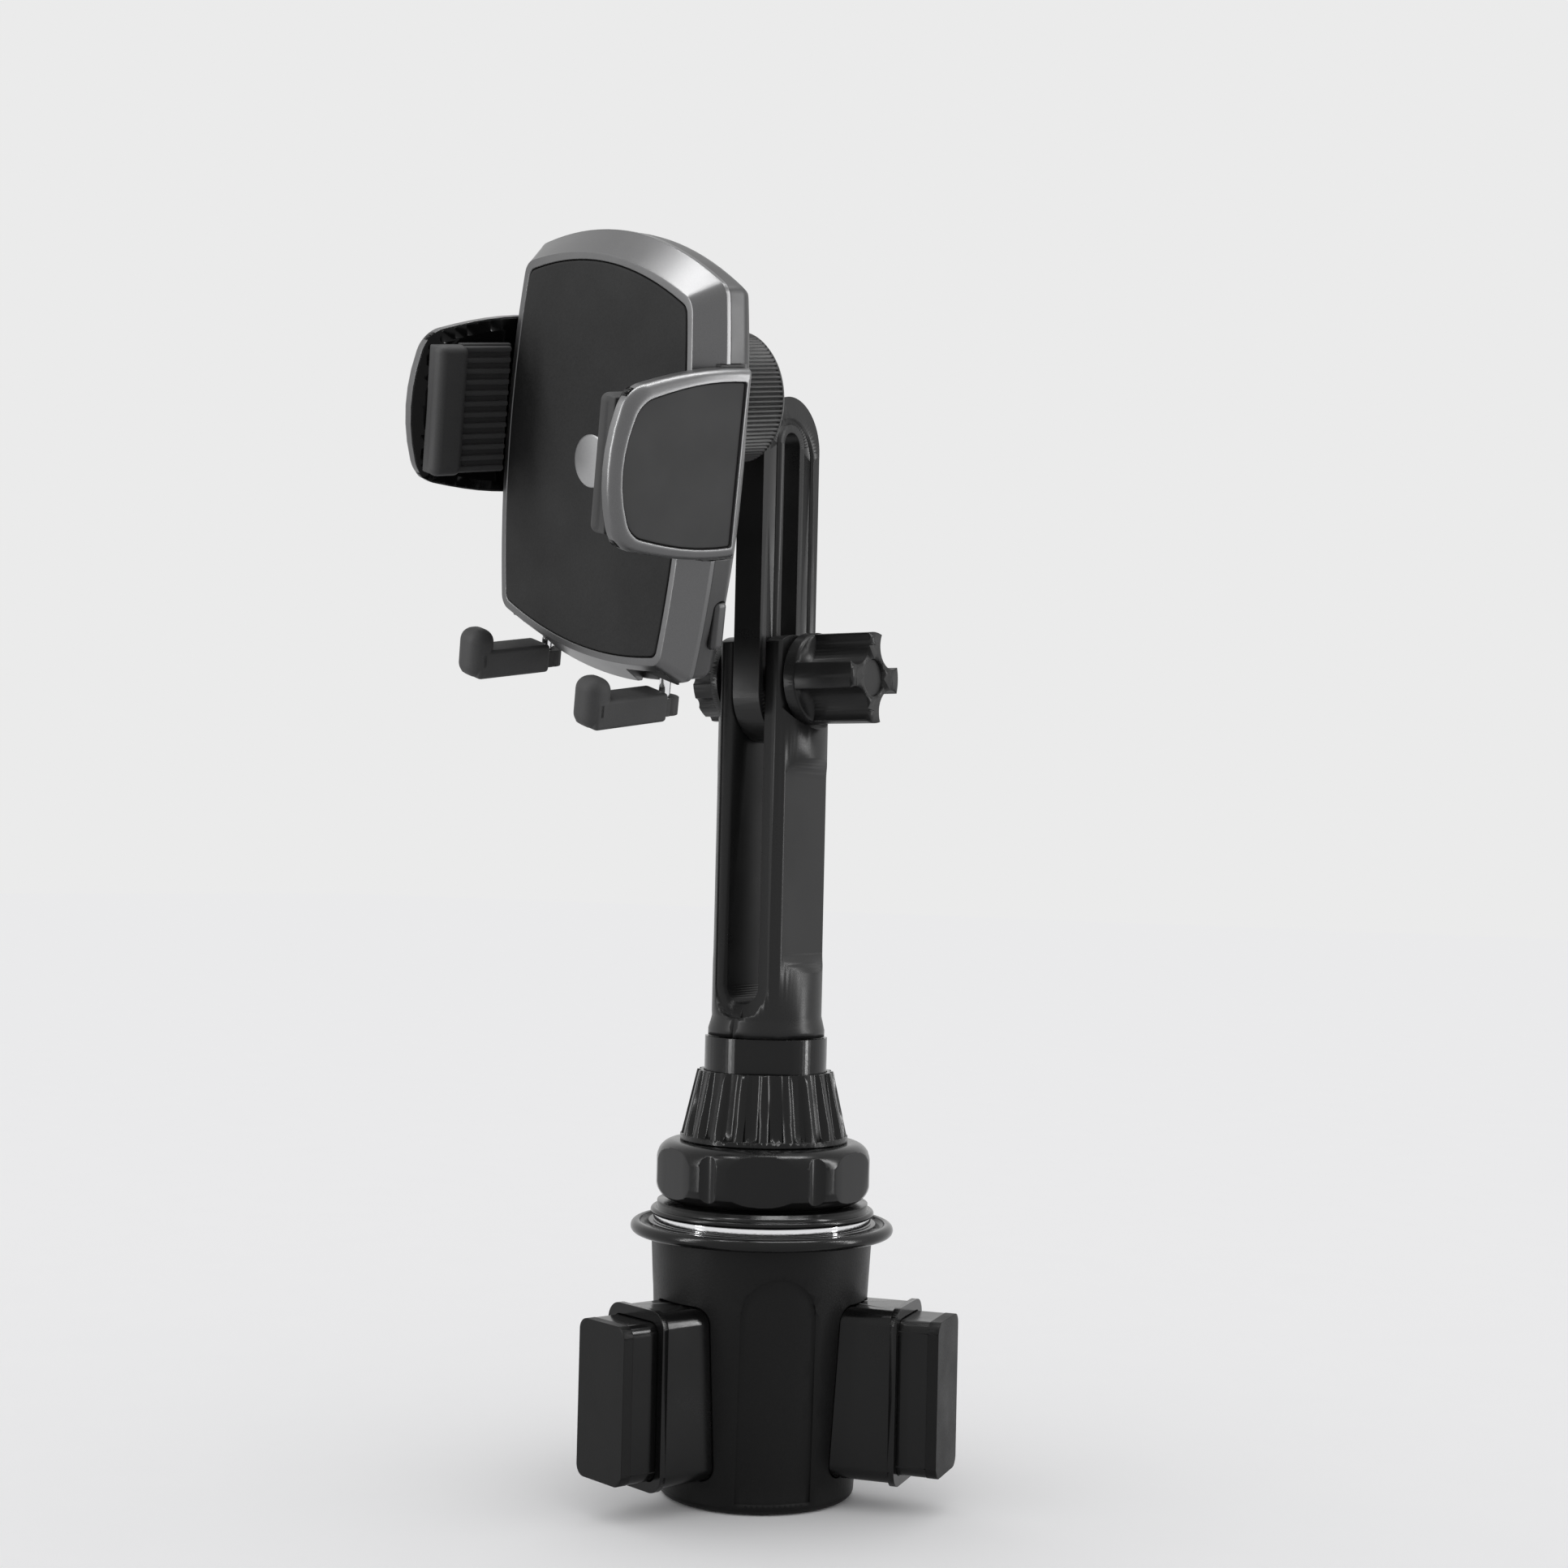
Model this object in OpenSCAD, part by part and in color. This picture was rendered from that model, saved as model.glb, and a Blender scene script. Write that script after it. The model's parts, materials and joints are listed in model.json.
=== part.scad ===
// Cup-holder phone mount: expanding base with three telescoping wings, twist collar, keyed neck,
// slotted pole, sliding upper arm, ball joint and a spring-armed phone cradle.
// Origin: centre of the base's underside. +Z is up, the clamp bolt lies along X, the phone faces -Y.

/* [Base cup] */
// Outer radius of the cup at its foot
cup_r_low = 27.2; // [27:0.1:27.4]
// Outer radius of the cup at its top
cup_r_top = 31; // [30.8:0.1:31.2]
// Height of the cup
cup_h = 72; // [72:0.1:72.4]
// Outer radius of the rim flange
flange_r = 36.9; // [36:0.1:38]

/* [Wings] */
// Width of a wing sleeve
sleeve_w = 23; // [22.6:0.1:23.4]
// Height of a wing sleeve
sleeve_h = 46.7; // [46.4:0.1:46.9]
// How far a sleeve goes in
sleeve_travel = 11.5; // [10:0.5:11.5]
// Distance from the axis to an extended pad's face
pad_reach = 55; // [54.6:0.1:55.4]

/* [Collar and cone nut] */
// Flat-to-axis distance of the twist collar's lobes
collar_apothem = 28.6; // [28:0.1:29]
// Radius of the cone nut at its foot
cone_r_low = 23.6; // [23.4:0.1:23.8]
// Radius of the cone nut at its top
cone_r_top = 19.2; // [19.2:0.1:19.5]
// Number of ribs round the cone nut
cone_ribs = 20; // [16:1:24]

/* [Pole and upper arm] */
// Outer radius of the keyed neck
neck_r = 17.2; // [17.1:0.05:17.2]
// Height of the clamp bolt's axis
knob_z = 227.8; // [227:0.1:229]
// Half the distance between the pole's two clamping faces
pole_half_w = 10.4; // [10.2:0.1:10.8]
// Radius of the pole
pole_r = 15.5; // [15.4:0.1:15.7]
// Thickness of the upper arm
arm_t = 8.8; // [8.4:0.1:9]
// Distance between the centres of the upper arm's round ends
arm_span = 70; // [69:0.5:71]

/* [Cradle] */
// Turn of the cradle about the vertical
head_turn = -11.3; // [-14:0.1:-8]
// Roll of the cradle about its facing direction
head_roll = 16.9; // [14:0.1:18]
// Forward tip of the cradle
head_tip = 9.6; // [7:0.1:11]
// Half width of the face pad at its corners
pad_cx = 32.75; // [32.5:0.05:33]
// Half height of the face pad at its corners
pad_cz = 45.15; // [45:0.05:45.4]
// Height of a foot's pin sticking out under the body
foot_drop = 5; // [4.6:0.1:5.4]

/* [Hidden] */
$fn = 64;
eps = 0.05;
gap = 0.3;

// Base levels
wall = 2.4;
floor_z = 2.5;
floor_t = 2;
cover_r = 23.3;
cover_screw_r = 20.4;
wing_angles = [-105.5, 14.5, 134.5];
wing_z = 31.6;
lip_r0 = 42;
lip_t = 1.8;
sleeve_r0 = 22;
slider_w = 19.8;
slider_h = 42;
slider_r0 = 31;
pad_t = 3;
follower_r = 24.5;
follower_pin = 1.9;
cam_z = 61;
cam_t = 2.5;
cam_turn = 110;
ring_z = cup_h + 3.5;
plate_z = 77.4;
plate_r = 31.4;
collar_z = 81.4;
collar_h = 16.6;
cone_z = 98.3;
cone_top = 117.6;
core_bore = neck_r + 0.06;
core_r = 19.4;
core_floor = 66.5;
core_top = 104;
neck_key = 15.4;
neck_flats = [-56, 64, 184];
neck_z0 = 68;
neck_top = 127.2;
neck_bore = 13.4;
pole_z0 = 127.5;
slot_z0 = 136.5;
slot_w = 10.6;
frame_y = 12.2;
frame_half = 9;
grip_x = 11.6;
pole_top = 12;
bolt_r = 3;
arm_r = 14;
arm_z0 = knob_z - 3.8;
arm_z1 = arm_z0 + arm_span;
arm_slot_r = 3.9;

// Ball joint and cradle levels, along the cradle's own depth axis (y) and height axis (z)
ball = [0, -31, 303];
ball_y = 42;
ball_up = 16;
ball_r = 8.5;
seam_y = 9.2;
back_y = 19;
rack_y = 11;
rack_t = 3.6;
gear_z = 7;
gear_pitch_r = 6;
tooth_pitch = gear_pitch_r * 2 * PI / gear_teeth();
arm_in = 41.2;
arm_out = 46;
foot_x = 26;
pin_y = 10.5;
pin_r = 1.6;
foot_top = -53.2 - foot_drop;

function gear_teeth() = 12;

// ---------- shared shapes ----------

// A rectangle with rounded corners, centred
module round_rect(w, h, r) {
    x = w / 2 - r;
    y = h / 2 - r;
    square([w, h - 2 * r], center = true);
    square([w - 2 * r, h], center = true);
    for (sx = [-1, 1], sy = [-1, 1]) translate([sx * x, sy * y]) circle(r);
}

// A bar with round ends between two heights, drawn in the Y-Z plane and t thick along X
module slot_bar(z0, z1, r, t) {
    rotate([90, 0, 90]) linear_extrude(t, center = true) {
        translate([0, z0]) circle(r);
        translate([0, z1]) circle(r);
        translate([-r, z0]) square([2 * r, z1 - z0]);
    }
}

// A block along +X from r0 to r1 with a rounded-rectangle section at the wings' mid height
module wing_block(r0, r1, w, h, r) {
    translate([r0, 0, wing_z]) rotate([90, 0, 90]) linear_extrude(r1 - r0) round_rect(w, h, r);
}

// A cylinder along X from x0 to x1
module x_rod(x0, x1, r) {
    translate([x0, 0, 0]) rotate([0, 90, 0]) cylinder(h = x1 - x0, r = r);
}

// A cylinder along Y from y0 to y1
module y_rod(y0, y1, r) {
    translate([0, y0, 0]) rotate([-90, 0, 0]) cylinder(h = y1 - y0, r = r);
}

// A pan-head screw pointing along +Z, its head below z = 0
module screw(head_r, head_h, shank_r, length) {
    difference() {
        union() {
            translate([0, 0, -head_h]) cylinder(h = head_h, r = head_r);
            cylinder(h = length, r = shank_r);
        }
        translate([0, 0, -head_h - eps]) linear_extrude(head_h * 0.6) {
            square([head_r * 1.1, head_r * 0.3], center = true);
            square([head_r * 0.3, head_r * 1.1], center = true);
        }
    }
}

// ---------- base ----------

module cup_solid(inset, z0, z1) {
    slope = (cup_r_top - cup_r_low) / cup_h;
    rotate_extrude() polygon([[0, z0], [cup_r_low + slope * z0 - inset, z0],
        [cup_r_low + slope * z1 - inset, z1], [0, z1]]);
}

module arch_panel(depth) {
    top = 64;
    half = 10.4;
    difference() {
        rotate([90, 0, 90]) translate([0, 0, 20]) linear_extrude(15) {
            translate([0, top - half]) circle(half);
            translate([-half, 3]) square([2 * half, top - half - 3]);
        }
        cup_solid(depth, 0, cup_h);
    }
}

module base_cup() {
    color("#26262a") difference() {
        union() {
            difference() {
                intersection() {
                    cup_solid(0, 0, cup_h);
                    rotate_extrude() {
                        translate([0, 2]) square([40, cup_h]);
                        square([cup_r_low - 2, 3]);
                        translate([cup_r_low - 1.9, 2]) circle(2);
                    }
                }
                cup_solid(wall, floor_z + floor_t, cup_h + eps);
                for (a = wing_angles) rotate(a + 60) arch_panel(0.7);
            }
            for (i = [0:2]) rotate(wing_angles[i] + 60)
                translate([cover_screw_r, 0, floor_z + 1]) cylinder(h = 4.5, r = 3);
        }
        translate([0, 0, -eps]) cylinder(h = floor_z + eps, r = cover_r + gap);
        cylinder(h = 10, r = 12.3);
        for (a = wing_angles) {
            rotate(a + 60) translate([cover_screw_r, 0, 0]) cylinder(h = 20, r = 1.25);
            rotate(a) wing_block(15, 45, sleeve_w + 2 * gap, sleeve_h + 2 * gap, 4 + gap);
        }
    }
}

module bottom_cover() {
    color("#222226") difference() {
        cylinder(h = floor_z, r = cover_r);
        for (a = wing_angles) rotate(a + 60) translate([cover_screw_r, 0, 0]) {
            translate([0, 0, -eps]) cylinder(h = 1.8, r = 2.7);
            cylinder(h = 4, r = 1.5);
        }
    }
}

module cover_screws() {
    color("silver") for (a = wing_angles)
        rotate(a + 60) translate([cover_screw_r, 0, 1.75]) screw(2.4, 1.4, 1.2, 5.2);
}

// Central post that rises between the wings and carries the neck in its upper cup
module core_post() {
    color("#1e1e22") difference() {
        union() {
            translate([0, 0, floor_z]) cylinder(h = floor_t, r = 12.2);
            cylinder(h = core_floor, r = 5.5);
            translate([0, 0, core_floor - 2]) cylinder(h = cone_z - 1.5 - core_floor + 2, r = 20);
            translate([0, 0, core_floor]) cylinder(h = core_top - core_floor, r = core_r);
        }
        difference() {
            translate([0, 0, core_floor]) cylinder(h = 60, r = core_bore);
            for (a = neck_flats) rotate(a) translate([neck_key + gap, -10, 0]) cube([5, 20, 120]);
        }
        translate([0, 0, -eps]) cylinder(h = floor_z + eps, r = 13);
    }
}

module base_flange() {
    color("#2e2e33") rotate_extrude() difference() {
        union() {
            translate([26, cup_h]) square([flange_r - 27.7, 3.4]);
            translate([flange_r - 1.75, cup_h + 1.75]) circle(1.75);
        }
        translate([33.2, cup_h + 3.4]) circle(1.3);
    }
}

module chrome_ring() {
    color("white") rotate_extrude() translate([28.4, ring_z]) square([2.2, plate_z - ring_z]);
}

module top_plate() {
    color("#1c1c20") rotate_extrude() {
        translate([22.9, plate_z]) square([plate_r - 23.8, 1.8]);
        translate([plate_r - 0.9, plate_z + 0.9]) circle(0.9);
        translate([22.9, plate_z + 1.7]) square([plate_r - 24.7, 1.9]);
    }
}

// Six-lobed collar that is gripped to open and close the wings
module twist_collar() {
    color("#2c2c31") difference() {
        intersection() {
            rotate_extrude() {
                translate([0, collar_z]) square([25, collar_h]);
                translate([0, collar_z + 5]) square([30, collar_h - 10]);
                for (z = [collar_z + 5, collar_z + collar_h - 5]) translate([25, z]) circle(5);
            }
            rotate(-56 + 30) cylinder(h = 120, r = collar_apothem / cos(30), $fn = 6);
        }
        for (i = [0:5]) rotate(-56 + 30 + 60 * i)
            translate([collar_apothem / cos(30) + 0.6, 0, 80]) cylinder(h = 20, r = 4.6);
        cylinder(h = 120, r = 20.4);
    }
}

// Disc with three spiral slots that drive the wing sleeves' followers
module cam_disc() {
    steps = 24;
    half = follower_pin + gap;
    function spiral(t) = follower_r - sleeve_travel * t;
    color("#6a6a70") difference() {
        union() {
            translate([0, 0, cam_z]) cylinder(h = cam_t, r = 27.2);
            cylinder(h = collar_z, r = 22.4);
        }
        translate([0, 0, -eps]) cylinder(h = cam_z + eps, r = 40);
        cylinder(h = 100, r = 5.8);
        translate([0, 0, cam_z + cam_t]) cylinder(h = 60, r = 20.4);
        for (a = wing_angles) rotate(a) translate([0, 0, cam_z - 1]) linear_extrude(5) {
            polygon(concat(
                [for (i = [0:steps]) let (t = i / steps, r = spiral(t) + half)
                    [r * cos(cam_turn * t), r * sin(cam_turn * t)]],
                [for (i = [steps:-1:0]) let (t = i / steps, r = spiral(t) - half)
                    [r * cos(cam_turn * t), r * sin(cam_turn * t)]]));
            translate([follower_r, 0]) circle(half);
            rotate(cam_turn) translate([follower_r - sleeve_travel, 0]) circle(half);
        }
    }
}

// ---------- wings ----------

module wing_sleeve(i) {
    pin_foot = wing_z + sleeve_h / 2 - 1;
    color("#303036") rotate(wing_angles[i - 1]) difference() {
        union() {
            wing_block(sleeve_r0, lip_r0, sleeve_w, sleeve_h, 4);
            wing_block(lip_r0, lip_r0 + lip_t, sleeve_w + 1.6, sleeve_h + 1.6, 4.8);
            translate([follower_r, 0, pin_foot]) cylinder(h = cam_z + cam_t - 0.3 - pin_foot, r = follower_pin);
        }
        wing_block(sleeve_r0 - 1, lip_r0 + 3, slider_w + 2 * gap, slider_h + 2 * gap, 3 + gap);
    }
}

module wing_slider(i) {
    color("#3a3a40") rotate(wing_angles[i - 1]) difference() {
        wing_block(slider_r0, pad_reach - pad_t, slider_w, slider_h, 3);
        wing_block(slider_r0 - 1, pad_reach - pad_t - 2, slider_w - 4, slider_h - 4, 1.5);
    }
}

module wing_pad(i) {
    color("#27272b") rotate(wing_angles[i - 1])
        wing_block(pad_reach - pad_t, pad_reach, slider_w + 0.2, slider_h + 0.2, 3.1);
}

// ---------- cone nut and neck ----------

module cone_nut() {
    h = cone_top - cone_z;
    color("#232327") translate([0, 0, cone_z]) difference() {
        union() {
            cylinder(h = h, r1 = cone_r_low - 1.8, r2 = cone_r_top - 0.8);
            cylinder(h = 1.4, r = cone_r_low);
            intersection() {
                cylinder(h = h, r1 = cone_r_low, r2 = cone_r_top);
                for (i = [0:cone_ribs - 1]) rotate(-56 + i * 360 / cone_ribs)
                    translate([10, -1.3, 0]) cube([20, 2.6, h]);
            }
        }
        translate([0, 0, -eps]) cylinder(h = core_top - cone_z + 0.4 + eps, r = core_r + 0.06);
        translate([0, 0, core_top - cone_z + 0.35]) cylinder(h = 10, r1 = 18.9, r2 = 18.3);
        cylinder(h = h + 1, r = neck_r + gap);
    }
}

module collet() {
    color("#8a8a90") difference() {
        translate([0, 0, core_top]) cylinder(h = 9.8, r1 = 18.5, r2 = 17.95);
        cylinder(h = 130, r = neck_r + 0.05);
        for (i = [0:5]) rotate(4 + i * 60) translate([10, -0.6, core_top + 2]) cube([12, 1.2, 20]);
    }
}

module neck_tube() {
    color("#29292d") difference() {
        translate([0, 0, neck_z0]) cylinder(h = neck_top - neck_z0, r = neck_r);
        translate([0, 0, neck_z0 - 1]) cylinder(h = 80, r = neck_bore);
        for (a = neck_flats) rotate(a) translate([neck_key, -10, 0]) cube([5, 20, 140]);
    }
}

// ---------- pole ----------

// Outline of the slot's frame, a strip with a round foot, drawn in the X-Z plane
module slot_outline(half) {
    translate([0, slot_z0 + slot_w / 2]) circle(half);
    translate([-half, slot_z0 + slot_w / 2]) square([2 * half, 140]);
}

module pole_body() {
    difference() {
        union() {
            intersection() {
                translate([0, 0, pole_z0]) cylinder(h = 140, r = pole_r);
                rotate([90, 0, 90]) linear_extrude(60, center = true)
                    translate([0, knob_z + pole_top - 80]) round_rect(2 * pole_r + 2, 160, 11);
            }
            translate([0, 0, pole_z0]) cylinder(h = 1.8, r = 16.4);
            translate([0, 0, pole_z0 + 1.8]) cylinder(h = 5, r1 = 16.4, r2 = pole_r - 0.3);
            translate([0, 0, 112]) cylinder(h = 18, r = neck_bore - 0.06);
        }
        rotate([90, 0, 0]) linear_extrude(60, center = true) slot_outline(slot_w / 2);
        translate([0, 0, knob_z]) x_rod(-20, 20, bolt_r + 0.05);
        for (s = [-1, 1]) {
            translate([0, s * (frame_y + 10), 0]) rotate([90, 0, 0])
                linear_extrude(20, center = true) slot_outline(frame_half);
            translate([s * (pole_half_w + 10), 0, 0]) rotate([90, 0, 90])
                linear_extrude(20, center = true) {
                    translate([0, knob_z]) circle(14.2);
                    translate([-20, knob_z]) square([40, 40]);
                }
            translate([s * (grip_x + 10), 0, 175.5]) rotate([90, 0, 0])
                linear_extrude(60, center = true) round_rect(20, 61, 6);
        }
        for (y = [-7.5, 7.5]) translate([0, y, 132]) {
            x_rod(-30, 8, 1.6);
            x_rod(-30, -9, 2.9);
        }
        translate([0, 0, 110]) cylinder(h = 14, r = 9);
    }
}

module lower_pole_left() {
    color("#1f1f23") intersection() {
        pole_body();
        translate([-40, -40, 100]) cube([40, 80, 160]);
    }
}

module lower_pole_right() {
    color("#1f1f23") intersection() {
        pole_body();
        translate([0, -40, 100]) cube([40, 80, 160]);
    }
}

module pole_screws() {
    color("silver") for (y = [-7.5, 7.5])
        translate([-9, y, 132]) rotate([0, 90, 0]) screw(2.6, 2, 1.5, 15);
}

// ---------- clamp bolt and knob ----------

module clamp_bolt() {
    color("#a0a0a6") translate([0, 0, knob_z]) {
        x_rod(-16, 30, bolt_r);
        translate([-18.5, 0, 0]) rotate([0, 90, 0]) cylinder(h = 2.5, r = 5.6, $fn = 6);
    }
}

module scalloped_nut() {
    color("#2a2a2e") translate([0, 0, knob_z]) difference() {
        union() {
            x_rod(-13.4, -pole_half_w - 0.8, 12.4);
            x_rod(-20, -13.4, 11.6);
        }
        for (i = [0:9]) rotate([36 * i, 0, 0]) translate([0, 12.6, 0]) x_rod(-21, -14, 1.9);
        x_rod(-30, 0, bolt_r + 0.05);
        translate([-18.7, 0, 0]) rotate([0, 90, 0]) cylinder(h = 2.8, r = 5.8, $fn = 6);
    }
}

// Star knob with four lobes over a round skirt
module knob() {
    color("#2a2a2e") translate([0, 0, knob_z]) difference() {
        union() {
            x_rod(11.8, 15, 12.9);
            x_rod(15, 33.3, 12.6);
        }
        for (i = [0:3]) rotate([45 + 90 * i, 0, 0]) translate([0, 12.9, 0]) x_rod(16, 34, 6.2);
        x_rod(10, 28, bolt_r + 0.05);
        x_rod(28, 40, 5.2);
    }
}

module knob_cap() {
    color("#333338") translate([0, 0, knob_z]) x_rod(30.2, 32.6, 5.1);
}

module friction_washers() {
    color("#111113") translate([0, 0, knob_z]) for (s = [-1, 1])
        translate([s * (pole_half_w + 0.4), 0, 0]) difference() {
            x_rod(-0.4, 0.4, 10);
            x_rod(-1, 1, bolt_r + 0.05);
        }
}

// ---------- upper arm ----------

// Shoe that turns on the bolt and guides the arm's slot
module slot_bush() {
    color("#77777d") difference() {
        translate([0, 0, knob_z]) rotate([90, 0, 90]) linear_extrude(arm_t + 1, center = true)
            round_rect(2 * arm_slot_r - 0.16, 6.9, 3.2);
        translate([0, 0, knob_z]) x_rod(-20, 20, bolt_r + 0.05);
    }
}

module upper_arm() {
    color("#2b2b30") difference() {
        union() {
            slot_bar(arm_z0, arm_z1, arm_r, arm_t);
            translate([0, 0, ball[2]]) y_rod(-15.4, -4, 4.9);
        }
        slot_bar(arm_z0, arm_z1, arm_slot_r, 20);
        for (s = [-1, 1]) translate([s * (arm_t / 2 + 0.1), 0, 0]) difference() {
            slot_bar(arm_z0, arm_z1 - 3, arm_r - 3, 2);
            slot_bar(arm_z0, arm_z1, arm_slot_r + 2.2, 4);
        }
        translate([0, 0, ball[2]]) y_rod(-16, -6.5, 2.55);
    }
}

module ball_stud() {
    color("#b4b4ba") translate([0, 0, ball[2]]) {
        y_rod(-15.6, -7, 2.5);
        y_rod(-17.4, -15.4, 4.9);
        y_rod(ball[1], -17, 3.6);
        translate([0, ball[1], 0]) sphere(ball_r);
    }
}

// ---------- cradle frame ----------

// Places a piece drawn in the cradle's own frame: x to the right, y into the body, z up
module head() {
    translate(ball) rotate([head_tip, head_roll, head_turn]) translate([0, -ball_y, -ball_up]) children();
}

// Outline with bowed sides and arched ends, by quadratic arcs between its four corners
module bowed_outline(cx, cz, top, bottom, bow, r) {
    n = 12;
    function arc(t) = 1 - t * t;
    offset(r = r) offset(delta = -r) polygon(concat(
        [for (i = [0:n - 1]) let (t = 1 - 2 * i / n) [cx * t, cz + top * arc(t)]],
        [for (i = [0:n - 1]) let (t = 1 - 2 * i / n) [-cx - bow * arc(t), cz * t]],
        [for (i = [0:n - 1]) let (t = 2 * i / n - 1) [cx * t, -cz - bottom * arc(t)]],
        [for (i = [0:n - 1]) let (t = 2 * i / n - 1) [cx + bow * arc(t), cz * t]]));
}

// Extrudes an X-Z outline along the cradle's depth from y0 to y1
module deep(y0, y1) {
    translate([0, y1, 0]) rotate([90, 0, 0]) linear_extrude(y1 - y0) children();
}

module pad_outline(grow) {
    bowed_outline(pad_cx + grow, pad_cz + grow, 6.6, 4.8, 3.7, 1.5);
}

module outer_outline(grow) {
    bowed_outline(pad_cx + 6 + grow, pad_cz + 6 + grow, 8.6, 6.4, 4.8, 2.5);
}

// Space beside the body where an arm plate rides
module arm_pockets() {
    for (s = [-1, 1]) translate([s * 50.6, 9, gear_z + 0.3])
        cube([20, 24, 50.2], center = true);
}

module face_pad() {
    color("#3c3c40") head() difference() {
        deep(0, 1.6) pad_outline(0);
        y_rod(-1, 3, 7.3);
    }
}

module badge() {
    color("#c8c8cc") head() y_rod(0.15, 1.6, 7);
}

module front_shell() {
    color("#8c8c90") head() difference() {
        hull() {
            deep(0.2, 0.4) pad_outline(2);
            deep(7.4, seam_y - 0.2) outer_outline(0);
        }
        deep(-1, 1.6) pad_outline(0.2);
        deep(3.6, 12) bowed_outline(pad_cx + 1, pad_cz + 1, 6, 4.4, 3.2, 2);
        arm_pockets();
        for (s = [-1, 1]) {
            translate([s * foot_x, 7.6, -54]) cube([15, 10, 9.6], center = true);
            translate([s * foot_x, pin_y, -60]) cylinder(h = 25, r = pin_r + gap);
        }
    }
}

module rear_housing() {
    color("#5a5a5e") head() difference() {
        union() {
            deep(seam_y, 14.5) outer_outline(-0.5);
            deep(14.4, 17) outer_outline(-1.8);
            deep(16.9, back_y) outer_outline(-4.5);
            translate([0, 0, ball_up]) {
                y_rod(back_y - 1, 31.6, 15.4);
                y_rod(30, 44, 14);
            }
        }
        difference() {
            deep(seam_y - 1, back_y - 2) bowed_outline(pad_cx + 1, pad_cz + 1, 6, 4.4, 3.2, 2);
            for (s = [-1, 1]) translate([s * foot_x, pin_y, -56]) cylinder(h = 18, r = 3.4);
            for (sx = [-1, 1], z = [-40, 46]) translate([sx * 17, 0, z]) y_rod(8, 20, 3);
            translate([0, 0, gear_z]) y_rod(rack_y - 0.6, 20, 2);
        }
        translate([0, 0, ball_up]) y_rod(33, 46, 11.7);
        arm_pockets();
        for (s = [-1, 1]) {
            translate([s * foot_x, pin_y, -60]) cylinder(h = 25, r = pin_r + 0.06);
            translate([s * 30, rack_y + 1.8, gear_z + s * 9]) cube([30, rack_t + 0.8, 6.6], center = true);
        }
        for (sx = [-1, 1], z = [-40, 46]) translate([sx * 17, 0, z]) {
            y_rod(8, 20, 1.3);
            y_rod(17.6, 20, 2.7);
        }
        translate([40, 14, -36]) rotate([90, 0, 90]) linear_extrude(20, center = true)
            round_rect(4.6, 13.4, 2.25);
        translate([33, 11.1, -43.8]) cube([4.4, 5.8, 15.6]);
    }
}

module housing_screws() {
    color("silver") head() for (sx = [-1, 1], z = [-40, 46])
        translate([sx * 17, 17.6, z]) rotate([90, 0, 0]) screw(2.5, 1.3, 1.25, 9);
}

module ball_nut() {
    color("#1a1a1c") head() translate([0, 0, ball_up]) difference() {
        y_rod(32, 52, 17.9);
        y_rod(31, 44.2, 14.06);
        translate([0, 44.1, 0]) rotate([-90, 0, 0]) cylinder(h = 3.9, r1 = 11.7, r2 = 10.2);
        translate([0, 47.9, 0]) rotate([-90, 0, 0]) cylinder(h = 4.2, r1 = 10.2, r2 = 12);
    }
}

// Spherical seat ring between two radii, open towards the stud and cut off in front
module seat_ring(r_in, r_out) {
    head() translate([0, ball_y, ball_up]) rotate([-90, 0, 0]) rotate_extrude() intersection() {
        difference() {
            circle(r_out);
            circle(r_in);
        }
        polygon([[0, 0], [20 * sin(60), 20 * cos(60)], [22, 10], [22, -6], [0, -6]]);
    }
}

module seat_inner() {
    color("#d8d8dc") seat_ring(ball_r + gap, ball_r + 1.4);
}

module seat_outer() {
    color("#bdbdc2") seat_ring(ball_r + 1.7, ball_r + 2.9);
}

// ---------- cradle arms ----------

// Side outline of an arm in the Y-Z plane: bowed, a little lower towards its front edge
module arm_outline(inset) {
    front = -25;
    rear = 13.6;
    n = 10;
    function arc(t) = 1 - t * t;
    offset(r = 4 - inset * 0.4) offset(delta = -4 - inset * 0.6) polygon(concat(
        [for (i = [0:n]) let (t = 1 - 2 * i / n) [front - 4.4 * arc(t), gear_z + 0.4 + 19.8 * t]],
        [for (i = [1:n]) let (t = i / n) [front + (rear - front) * t,
            gear_z + 0.4 - 19.8 - 4.4 * sin(90 * t) - 0.6 * sin(180 * t)]],
        [for (i = [0:n - 1]) let (t = 1 - i / n) [rear, gear_z + 0.4 + 48.4 * (0.5 - t)]],
        [for (i = [0:n - 1]) let (t = 1 - i / n) [front + (rear - front) * t,
            gear_z + 0.4 + 19.8 + 4.4 * sin(90 * t) + 0.6 * sin(180 * t)]]));
}

// Extrudes a Y-Z outline from x0 to x1
module across(x0, x1) {
    translate([x0, 0, 0]) rotate([90, 0, 90]) linear_extrude(x1 - x0) children();
}

// One side's arm, s = 1 for the right one and -1 for the left one
module to_side(s) {
    head() if (s > 0) children(); else mirror([1, 0, 0]) children();
}

// Toothed bar that reaches across to the pinion; the right one lies above it, the left one below
module rack(s) {
    tip = 5.5;
    root = 6.9;
    translate([0, 0, gear_z]) mirror([0, 0, s > 0 ? 0 : 1]) {
        translate([-19, rack_y, root]) cube([arm_in + 19 + eps, rack_t, 4.4]);
        for (i = [-6:1]) translate([(i + 0.5) * tooth_pitch, rack_y, 0])
            translate([0, rack_t, 0]) rotate([90, 0, 0]) linear_extrude(rack_t)
                polygon([[-0.75, root + eps], [-0.35, tip], [0.35, tip], [0.75, root + eps]]);
    }
}

module arm_plate(s) {
    color("#0e0e10") to_side(s) {
        across(arm_in, 43.4) arm_outline(0.4);
        intersection() {
            across(39.4, arm_in + eps) arm_outline(3.2);
            translate([30, -60, -40]) cube([20, 58.8, 100]);
        }
        rack(s);
    }
}

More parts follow.
